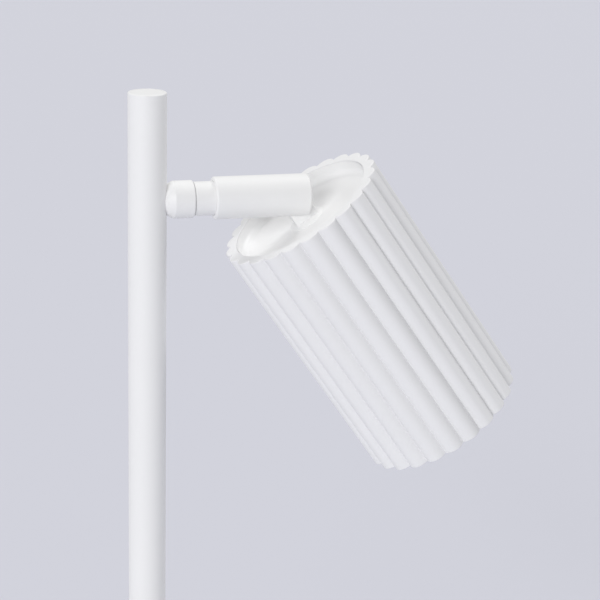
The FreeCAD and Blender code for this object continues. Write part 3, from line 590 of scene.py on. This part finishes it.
def make_base():
    """The disc, the pad with its rings, and the cord's gland."""
    low, high, inner, outer = sizes("base_plate", POLE)
    recess_top = low + NUT_RECESS_DEEP
    rows = rounded([(inner, recess_top), (NUT_RECESS, recess_top), (NUT_RECESS, low, 0.3), (50, low),
                    (outer, low, BASE_BEVEL), (outer, high, BASE_ROUND), (70, high), (40, high), (15, high),
                    (inner, high)])
    plate = build("base_plate_look", spun(rows, 192), POLE)
    carve(plate, block((-outer - 2, -GROOVE_HALF, low - 1), (0, GROOVE_HALF, low + GROOVE_DEEP)), POLE)
    stand_for("base_plate", plate)

    low, high, inner, outer = sizes("base_pad", POLE)
    rows = [(0, low)]
    count = int((outer - 3) / PAD_RIB)
    for index in range(count):
        start, floor = PAD_FIRST + PAD_RIB * index, low + PAD_GROOVE
        rows += [(start, low), (start + 0.3, floor), (start + 0.9, floor), (start + 1.2, low)]
    rows += rounded([(PAD_FIRST + PAD_RIB * count, low), (outer, low, 0.4), (outer, high, 0.4), (0, high)],
                    closed=False)
    finished("base_pad", spun(rows, 144), POLE, 25)

    low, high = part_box("cord_gland")
    length, width, height = (side / MM for side in high - low)
    place = axes(Vector((low.x, 0, (low.z + high.z) / 2)), UP, (0, 1, 0))
    # own X across the groove, own Y against the frame's X, from the outer end
    outline = rounded([(-width / 2, -height / 2, GLAND_EDGE), (width / 2, -height / 2, GLAND_EDGE),
                       (width / 2, height / 2, GLAND_EDGE), (-width / 2, height / 2, GLAND_EDGE)])
    stations = [(0, 0.5), (-0.15, 0.2), (-0.5, 0), (-2.4, 0)]
    for start in GLAND_RIBS:
        stations += [(-start, 0.35), (-start - 0.6, 0.35), (-start - 0.9, 0), (-start - 1.5, 0)]
    stations += [(-length + 0.5, 0), (-length, 0.4)]
    gland = build("cord_gland_look", slab(outline, stations), place)
    flare = rounded([(0, -2), (CORD_BORE + 1.5, -2), (CORD_BORE + 0.9, 0), (CORD_BORE, 1.2),
                     (CORD_BORE, length + 2), (0, length + 2)])
    outward = axes(Vector((low.x, 0, (low.z + high.z) / 2)), (1, 0, 0), UP)
    carve(gland, spun(flare, 48), outward)
    stand_for("cord_gland", gland)


POLE_ROUND, PLUG_LEAD_IN = 0.8, 0.6


def make_pole():
    """The tube with the hole for the arm's stud, and the plug in its top."""
    low, high, inner, outer = sizes("pole_tube", POLE)
    rows = rounded([(inner, low), (outer, low, 0.3), (outer, high, POLE_ROUND), (inner, high)])
    pole = build("pole_tube_look", spun(rows, 128), POLE)
    stud = sizes("arm_stud", ARM)[3]
    carve(pole, rod(stud + 0.2, 0, outer + 2), ARM)
    stand_for("pole_tube", pole)
    low, high, inner, outer = sizes("pole_plug", POLE)
    rows = rounded([(0, low), (outer - PLUG_LEAD_IN, low), (outer, low + PLUG_LEAD_IN, 0.2), (outer, high),
                    (0, high)], closed=False)
    finished("pole_plug", spun(rows, 128), POLE)


COLLAR_LONG = 14.0
COLLAR_TIP, COLLAR_KNEE, COLLAR_KNEE_UP, COLLAR_FULL_UP = 4.8, 7.4, 2.0, 4.8


def make_collar():
    """Turned, with a rounded end that is cut to sit on the pole."""
    _, high, inner, outer = sizes("arm_collar", ARM)
    start = high - COLLAR_LONG
    rows = rounded([(inner, start), (COLLAR_TIP, start), (COLLAR_KNEE, start + COLLAR_KNEE_UP, 4.0),
                    (outer, start + COLLAR_FULL_UP, 0.6), (outer, high, 0.5), (inner, high)])
    collar = build("arm_collar_look", spun(rows, 128), ARM)
    pole_low, pole_high, _, pole_outer = sizes("pole_tube", POLE)
    carve(collar, rod(pole_outer, pole_low, pole_high, 128), POLE)
    stand_for("arm_collar", collar, 24)


SHADOW_GAP, SHADOW_GAP_RADIUS = 0.45, 7.5      # the groove between collar and neck


def make_neck():
    """The neck with its threaded nose, and what holds the sleeve on it."""
    low, high, lead, outer = sizes("arm_neck", ARM)
    shoulder = sizes("friction_washer", ARM)[0]
    nose = sizes("swivel_nut", ARM)[2]
    _, stud_end, _, stud = sizes("arm_stud", ARM)
    rows = rounded([(stud, low), (SHADOW_GAP_RADIUS, low), (SHADOW_GAP_RADIUS, low + SHADOW_GAP),
                    (outer, low + SHADOW_GAP, 0.25), (outer, shoulder, 0.3), (nose, shoulder)], closed=False)
    rows += thread_rows(nose, shoulder + 0.1, high - 0.5)
    rows += [(nose - 0.5, high), (lead + 0.3, high), (lead, high - 0.3), (lead, stud_end), (stud, stud_end)]
    finished("arm_neck", spun(rows, 96, threads(PITCH, SHANK_DEPTH)), ARM)

    low, high, inner, outer = sizes("friction_washer", ARM)
    finished("friction_washer", spun(rounded([(inner, low, 0.1), (outer, low, 0.15), (outer, high, 0.15),
                                              (inner, high, 0.1)])), ARM)
    split_washer("spring_washer", ARM)
    nut("swivel_nut", ARM)
    threaded_stud("arm_stud", ARM)


def split_washer(node, place):
    """A spring washer: a ring with a narrow slanting gap."""
    low, high, inner, outer = sizes(node, place)
    edge, gap, slant = 0.12, math.radians(8), math.radians(6)
    section = rounded([(inner, low, edge), (outer, low, edge), (outer, high, edge), (inner, high, edge)])
    rings = []
    steps = 88
    for step in range(steps + 1):
        ring = []
        for radius, height in section:
            angle = gap + slant * (height - low) / (high - low) + (math.tau - 2 * gap) * step / steps
            ring.append((radius * math.cos(angle), radius * math.sin(angle), height))
        rings.append(ring)
    finished(node, stacked(rings), place)


# ---------------------------------------------------------------- the sleeve
SLEEVE_BORE, SLEEVE_ROUND, SHOULDER_PLAY = 8.05, 1.2, 0.2
SLOT_HALF, SLOT_START, SLOT_TOP = 4.3, 62.0, 6.5
PIN_SKIN, PIN_SHORT = 0.25, 0.1    # filler and paint over the pin's ends, and how much shorter each end is


def make_sleeve():
    """The sleeve with its inner shoulder and slot, the plug, the pin and the bushes."""
    low, high, inner, outer = sizes("arm_sleeve", ARM)
    shoulder_low = sizes("friction_washer", ARM)[1] + SHOULDER_PLAY
    shoulder_high = sizes("spring_washer", ARM)[0] - SHOULDER_PLAY
    rows = rounded([(SLEEVE_BORE, low, 0.2), (outer, low, SLEEVE_ROUND), (outer, high, SLEEVE_ROUND),
                    (SLEEVE_BORE, high), (SLEEVE_BORE, shoulder_high), (inner, shoulder_high, 0.2),
                    (inner, shoulder_low, 0.2), (SLEEVE_BORE, shoulder_low)])
    sleeve = build("arm_sleeve_look", spun(rows, 128), ARM)
    slot = block((-SLOT_TOP, -SLOT_HALF, SLOT_START), (outer + 2, SLOT_HALF, high + 2))
    carve(sleeve, slot, ARM)
    pin = sizes("tilt_pin", PIN)[3]
    carve(sleeve, rod(pin, PIN_SKIN - outer, outer - PIN_SKIN, 64), PIN)
    stand_for("arm_sleeve", sleeve)

    low, high, _, outer = sizes("sleeve_end_plug", ARM)
    rows = rounded([(0, low), (outer, low, 0.2), (outer, high, 0.2), (0, high)], closed=False)
    plug = build("sleeve_end_plug_look", spun(rows, 128), ARM)
    carve(plug, block((-SLOT_TOP, -SLOT_HALF, low - 1), (outer + 2, SLOT_HALF, high + 1)), ARM)
    stand_for("sleeve_end_plug", plug)

    low, high, _, outer = sizes("tilt_pin", PIN)
    low, high = low + PIN_SHORT, high - PIN_SHORT
    rows = rounded([(0, low), (outer, low, 0.25), (outer, high, 0.25), (0, high)], closed=False)
    finished("tilt_pin", spun(rows, 64), PIN)
    bushes = []
    for points in solids("tilt_bushes", PIN):
        near, far, small, large = extent(points)
        bushes.append(spun(rounded([(small, near), (large, near, 0.3), (large, far, 0.3), (small, far)]), 64))
    finished("tilt_bushes", merged(bushes), PIN)


# ---------------------------------------------------------------- the head
LUG_HALF_THICK, LUG_EDGE = 4.0, 0.5
LUG_FOOT_THICK, LUG_FOOT_DOME = 1.2, 3.0       # the foot's height, and how far its edge slopes inwards
LUG_SHANK, LUG_LEAD, LUG_LEAD_EXIT = 4.0, 1.75, 8.5
PIN_PLAY = 0.05


def make_lug():
    """A flat lug with a round eye, a domed foot, a threaded shank and a way through for the leads."""
    low, high, _, foot = sizes("tilt_lug", HEAD)
    eye = (HEAD.inverted() @ PIVOT).z
    half = high - eye
    cap_top = sizes("head_cap", HEAD)[1]
    foot_top = cap_top + LUG_FOOT_THICK
    arc = [(half * math.cos(math.radians(angle)), eye + half * math.sin(math.radians(angle)))
           for angle in range(0, 181, 6)]
    outline = arc + [(-half, cap_top + 0.4), (half, cap_top + 0.4)]
    thick = LUG_HALF_THICK
    stations = [(-thick, LUG_EDGE), (-thick + 0.15, 0.15), (-thick + LUG_EDGE, 0), (thick - LUG_EDGE, 0),
                (thick - 0.15, 0.15), (thick, LUG_EDGE)]
    lug = build("tilt_lug_look", slab(outline, stations), HEAD)
    rows = [(0, low), (LUG_SHANK - 0.6, low)] + thread_rows(LUG_SHANK, low + 0.6, cap_top - 0.4)
    rows += rounded([(LUG_SHANK, cap_top), (foot, cap_top), (foot, cap_top + 0.2, 0.1),
                     (foot - LUG_FOOT_DOME, foot_top, 4), (0, foot_top)], closed=False)
    carve(lug, spun(rows, 96, threads(PITCH, SHANK_DEPTH)), HEAD, "UNION")
    pin = sizes("tilt_pin", PIN)[3]
    carve(lug, rod(pin + PIN_PLAY, -thick - 2, thick + 2, 64), PIN)
    lead_exit = cap_top + LUG_LEAD_EXIT
    carve(lug, rod(LUG_LEAD, low - 1, lead_exit + LUG_LEAD, 32), HEAD)
    sideways = HEAD @ Matrix.Translation((0, 0, lead_exit)) @ Matrix.Rotation(math.radians(-90), 4, "Y")
    carve(lug, rod(LUG_LEAD, 0, half + 2, 32), sideways)
    stand_for("tilt_lug", lug)
    washer("lug_washer", HEAD)
    nut("lug_nut", HEAD)


CAP_COVE = 6.4         # hollow rounding where the cap's edge is turned up against the bore


def make_cap():
    """The cap with its turned-up edge, and its screws."""
    low, high, inner, outer = sizes("head_cap", HEAD)
    lip, cove_top = outer - 0.04, high + CAP_COVE
    rows = rounded([(inner, low), (outer, low, 0.3), (outer, cove_top), (lip, cove_top), (lip, high, CAP_COVE),
                    (22, high), (inner, high)])
    cap = build("head_cap_look", spun(rows, 192), HEAD)
    holes = []
    for node in ("cap_screws", "bracket_screws"):
        holes += screw_holes(node, SCREW_BORE, low - 1, low + 2)
    carve(cap, merged(holes), HEAD)
    stand_for("head_cap", cap)
    screws("cap_screws")


SHADE_BORE, LEDGE_THICK = 35.5, 2.5
FLUTES, FLUTE_STEPS, FLUTE_EDGE = 24, 14, 0.5


def make_shade():
    """A ring of round ribs that meet in sharp valleys, the smooth bore, the recess and the cap's ledge."""
    low, high, ledge_bore, tip = sizes("shade_shell", HEAD)
    ledge_top = sizes("head_cap", HEAD)[0]
    ledge_low = ledge_top - LEDGE_THICK
    outside = [point for point in local("shade_shell", HEAD) if point.xy.length > SHADE_BORE + 1]
    lowest = min(outside, key=lambda point: point.xy.length)
    valley = lowest.xy.length
    half = math.pi / FLUTES
    start = math.atan2(lowest.y, lowest.x)
    hub = (tip ** 2 - valley ** 2) / (2 * (tip - valley * math.cos(half)))    # where a rib's own centre lies
    rib = tip - hub

    def shape(radius, height, angle, depth):
        away = (angle - start) % (2 * half) - half
        return hub * math.cos(away) + math.sqrt((rib - depth) ** 2 - (hub * math.sin(away)) ** 2), height

    def rim(end, inwards):
        """Rows from the flat of an end to the fluted side, over a rounding that follows the flutes."""
        turn = [math.radians(15 * step) for step in range(7)]
        return [(tip, end + inwards * FLUTE_EDGE * (1 - math.cos(a)), FLUTE_EDGE * (1 - math.sin(a)))
                for a in turn]
    rows = rim(low, 1) + list(reversed(rim(high, -1)))
    rows += rounded([(tip, high), (SHADE_BORE, high, 0.35), (SHADE_BORE, ledge_top, 0.2),
                     (ledge_bore, ledge_top, 0.2), (ledge_bore, ledge_low, 0.2), (SHADE_BORE, ledge_low, 0.2),
                     (SHADE_BORE, low, 0.35), (tip, low)], closed=False)[1:-1]
    shade = build("shade_shell_look", spun(rows, FLUTES * FLUTE_STEPS, shape, start), HEAD)
    carve(shade, merged(screw_holes("cap_screws", SCREW_HOLE, ledge_low - 1, ledge_top + 1)), HEAD)
    stand_for("shade_shell", shade, 26)


STRIP_THICK, STRIP_HALF = 1.5, 7.0             # the holder bracket's strip
BRACKET_LEG, BRACKET_FOOT = 17.0, 26.0         # outside of its legs and ends of its feet, from the shade's axis
LEAD_HOLE = 4.0
SOCKET, SOCKET_MOUTH, SOCKET_DEEP = 2.6, 3.6, 8.0    # the holder's openings for the lamp's pins


def make_holder():
    """The hat-shaped bracket and the ceramic holder, with their screws."""
    low, high, _, _ = sizes("holder_bracket", HEAD)
    inside = BRACKET_LEG - STRIP_THICK
    right = [(BRACKET_LEG, low, 2.4), (BRACKET_LEG, high - STRIP_THICK, 1.0),
             (BRACKET_FOOT, high - STRIP_THICK), (BRACKET_FOOT, high), (inside, high, 2.4),
             (inside, low + STRIP_THICK, 1.0)]
    left = [(-corner[0], *corner[1:]) for corner in reversed(right)]
    outline = rounded(right + left)
    stations = [(-STRIP_HALF, 0.12), (-STRIP_HALF + 0.12, 0), (STRIP_HALF - 0.12, 0), (STRIP_HALF, 0.12)]
    bracket = build("holder_bracket_look", slab(outline, stations), HEAD)
    holes = [rod(LEAD_HOLE, low - 1, low + STRIP_THICK + 1)]
    for node, level in (("bracket_screws", high - STRIP_THICK), ("holder_screws", low)):
        holes += screw_holes(node, SCREW_HOLE, level - 1, level + STRIP_THICK + 1)
    carve(bracket, merged(holes), HEAD)
    stand_for("holder_bracket", bracket)
    screws("bracket_screws")
    screws("holder_screws")

    low, high, _, outer = sizes("lamp_holder", HEAD)
    waist = outer - 0.8
    rows = rounded([(0, low), (outer, low, 0.8), (outer, low + 3, 0.3), (waist, low + 3.4, 0.3),
                    (waist, high - 2, 0.3), (outer - 1.4, high, 0.8), (0, high)], closed=False)
    holder = build("lamp_holder_look", spun(rows, 96), HEAD)
    holes = screw_holes("holder_screws", SCREW_BORE, low - 1, high + 1)
    for points in solids("lamp_pins", HEAD):
        socket = rounded([(0, low - 1), (SOCKET_MOUTH, low - 1), (SOCKET, low + 0.6),
                          (SOCKET, low + SOCKET_DEEP), (0, low + SOCKET_DEEP)])
        holes.append(moved(spun(socket, 40), (0, middle(points)[1], 0)))
    carve(holder, merged(holes), HEAD)
    stand_for("lamp_holder", holder)


# the lamp's radii from its mouth to its back, and how far above the mouth each of them starts or ends
LAMP_RIM, LAMP_CONE, LAMP_WAIST, LAMP_STEM = 25, 23.5, 15.5, 12.5
LAMP_RIM_UP, LAMP_CONE_UP, LAMP_WAIST_UP, LAMP_STEM_UP = 5, 9, 34, 42
FINS, FIN_STEPS, FIN_DEPTH = 20, 8, 1.6
FIN_SHARES = ((10, 0), (10.6, 1), (32, 1), (32.6, 0))    # the share of that depth at each height
LENS_RING, LENS_PETALS, LENS_RELIEF, LENS_ROW = 3.0, 32, 0.45, 0.5
LAMP_PIN, LAMP_PIN_HEAD, LAMP_PIN_HEAD_TALL = 1.6, 2.4, 1.8


def make_lamp():
    """The lamp's finned body, its front glass with rings of lenslets, and its pins."""
    low, high, _, _ = sizes("lamp_body", HEAD)
    _, lens_back, _, lens_radius = sizes("lamp_lens", HEAD)

    def fins(radius, height, angle, share):
        step = round(angle / math.tau * FINS * FIN_STEPS) % FIN_STEPS
        return radius - (share * FIN_DEPTH if step >= FIN_STEPS / 2 else 0), height
    rows = rounded([(0, lens_back), (lens_radius, lens_back), (lens_radius, low, 0.3), (LAMP_RIM, low, 0.6),
                    (LAMP_RIM, low + LAMP_RIM_UP, 0.5), (LAMP_CONE, low + LAMP_CONE_UP)], closed=False)
    slope = (LAMP_CONE - LAMP_WAIST) / (LAMP_WAIST_UP - LAMP_CONE_UP)
    for up, share in FIN_SHARES:
        rows.append((LAMP_CONE - slope * (up - LAMP_CONE_UP), low + up, share))
    rows += rounded([(LAMP_WAIST, low + LAMP_WAIST_UP), (LAMP_STEM, low + LAMP_STEM_UP, 0.6),
                     (LAMP_STEM, high, 0.6), (0, high)], closed=False)
    finished("lamp_body", spun(rows, FINS * FIN_STEPS, fins), HEAD, 28)

    low, high, _, outer = sizes("lamp_lens", HEAD)

    def lenslets(radius, height, angle, mark):
        ring = 0.5 - 0.5 * math.cos(math.tau * radius / LENS_RING)
        return radius, height + LENS_RELIEF * ring * (0.6 + 0.4 * math.cos(LENS_PETALS * angle))
    rows = [(0, low)] + [(LENS_ROW * index, low, True) for index in range(1, int((outer - 1) / LENS_ROW))]
    rows += rounded([(outer - 1, low), (outer, low, 0.3), (outer, high, 0.2), (0, high)], closed=False)
    finished("lamp_lens", spun(rows, 192, lenslets), HEAD)

    pins = []
    for points in solids("lamp_pins", HEAD):
        low, high = extent(points)[:2]
        neck = high - LAMP_PIN_HEAD_TALL
        rows = rounded([(0, low), (LAMP_PIN, low, 0.2), (LAMP_PIN, neck), (LAMP_PIN_HEAD, neck, 0.2),
                        (LAMP_PIN_HEAD, high, 0.5), (0, high)], closed=False)
        pins.append(moved(spun(rows, 48), (0, middle(points)[1], 0)))
    finished("lamp_pins", merged(pins), HEAD)


BAFFLE_WALL, BAFFLE_SKIRT, BAFFLE_CREASE, BAFFLE_STEPS = 1.5, 16.0, 0.6, 12


def make_baffle():
    """The anti-glare cone: rolled edge, plain skirt, and fine steps inside the slope."""
    low, high, inner, outer = sizes("front_baffle", HEAD)
    skirt_inner = outer - BAFFLE_WALL
    crease = low + BAFFLE_SKIRT - BAFFLE_CREASE
    rows = rounded([(skirt_inner, crease), (skirt_inner, low, 0.7), (outer, low, 0.7),
                    (outer, low + BAFFLE_SKIRT, 0.8), (inner + BAFFLE_WALL, high, 0.3), (inner, high, 0.3)],
                   closed=False)
    run, rise = (skirt_inner - inner) / BAFFLE_STEPS, (high - crease) / BAFFLE_STEPS
    for step in range(1, BAFFLE_STEPS):
        radius, height = inner + run * step, high - rise * step
        rows += [(radius - 0.3 * run, height), (radius + 0.1 * run, height + 0.25 * rise)]
    finished("front_baffle", spun(rows, 144), HEAD, 22)


make_base()
threaded_insert("foot_insert", POLE)
threaded_stud("foot_stud", POLE)
washer("foot_washer", POLE)
nut("foot_nut", POLE)
make_pole()
make_collar()
make_neck()
make_sleeve()
make_lug()
make_cap()
make_shade()
make_holder()
make_lamp()
make_baffle()

# arm_saddle_nut keeps its own shape, with its edges broken
saddle = frame["nodes"]["arm_saddle_nut"]
saddle.data.materials.clear()
saddle.data.materials.append(FINISH["plated_steel"])
bevel = saddle.modifiers.new("edges", "BEVEL")
bevel.width = 0.2 * MM
bevel.segments = 2
bevel.limit_method = "ANGLE"
